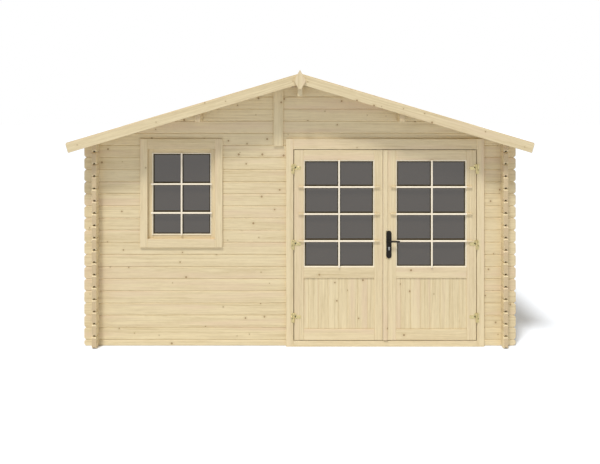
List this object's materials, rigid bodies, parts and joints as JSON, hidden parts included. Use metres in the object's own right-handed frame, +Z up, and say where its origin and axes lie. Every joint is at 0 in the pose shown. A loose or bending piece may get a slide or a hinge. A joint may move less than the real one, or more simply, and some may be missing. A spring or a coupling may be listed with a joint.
{
  "type": "garden shed",
  "caption": "Log garden shed with a shallow gable roof, a fixed window and an outward opening glazed double door.",
  "frame": {"origin": "on the ground, in the middle of the plan", "axes": "+X to the right seen from the front, -Y out of the door side, +Z up"},
  "size_m": [4.274, 3.34, 2.5803],
  "materials": {
    "spruce_logs": "planed, bare",
    "spruce_boards": "planed, bare",
    "spruce_joinery": "planed smooth, bare",
    "floor_timber": "planed, bare",
    "glass": "clear, dark room behind",
    "brass": "bright",
    "black_metal": "satin black",
    "steel": "satin"
  },
  "bodies": {
    "cabin": {"front_wall_low": "spruce_logs", "front_wall_left": "spruce_logs", "front_wall_middle": "spruce_logs", "front_wall_right": "spruce_logs", "front_gable": "spruce_logs", "back_wall": "spruce_logs", "back_gable": "spruce_logs", "right_wall": "spruce_logs", "left_wall": "spruce_logs", "ridge_purlin": "spruce_boards", "side_purlins": "spruce_boards", "roof_right": "spruce_boards", "roof_left": "spruce_boards", "eave_strips": "spruce_boards", "front_right_bargeboard": "spruce_boards", "front_left_bargeboard": "spruce_boards", "back_right_bargeboard": "spruce_boards", "back_left_bargeboard": "spruce_boards", "finials": "spruce_boards", "gable_cover_board": "spruce_boards", "window_trim": "spruce_joinery", "window_casing": "spruce_joinery", "window_sash": "spruce_joinery", "window_glass": "glass", "door_post_left": "spruce_joinery", "door_post_right": "spruce_joinery", "door_head": "spruce_joinery", "door_threshold": "spruce_joinery", "left_post_hinges": "brass", "right_post_hinges": "brass", "floor_bearers": "floor_timber", "floor_boards": "floor_timber"},
    "left_door": {"left_leaf_frame": "spruce_joinery", "left_leaf_panel": "spruce_joinery", "left_leaf_glass": "glass", "left_leaf_hinges": "brass"},
    "right_door": {"right_leaf_frame": "spruce_joinery", "right_leaf_panel": "spruce_joinery", "right_leaf_glass": "glass", "right_leaf_hinges": "brass", "meeting_strip": "spruce_joinery", "handle_plates": "black_metal", "lock_cylinder": "steel"},
    "handle": {"lever_handle": "black_metal"}
  },
  "joints": [
    {"name": "left_door_hinge", "type": "hinge", "parent": "cabin", "child": "left_door", "pos_m": [-0.058, -1.465, 0.952], "axis": [0, 0, -1], "range_deg": [0, 170]},
    {"name": "right_door_hinge", "type": "hinge", "parent": "cabin", "child": "right_door", "pos_m": [1.65, -1.465, 0.952], "axis": [0, 0, 1], "range_deg": [0, 150]},
    {"name": "handle_turn", "type": "hinge", "parent": "right_door", "child": "handle", "pos_m": [0.831, -1.438, 0.988], "axis": [0, 1, 0], "range_deg": [0, 40], "stiffness_Nm_per_rad": 1.5, "springref_deg": -20.05}
  ]
}
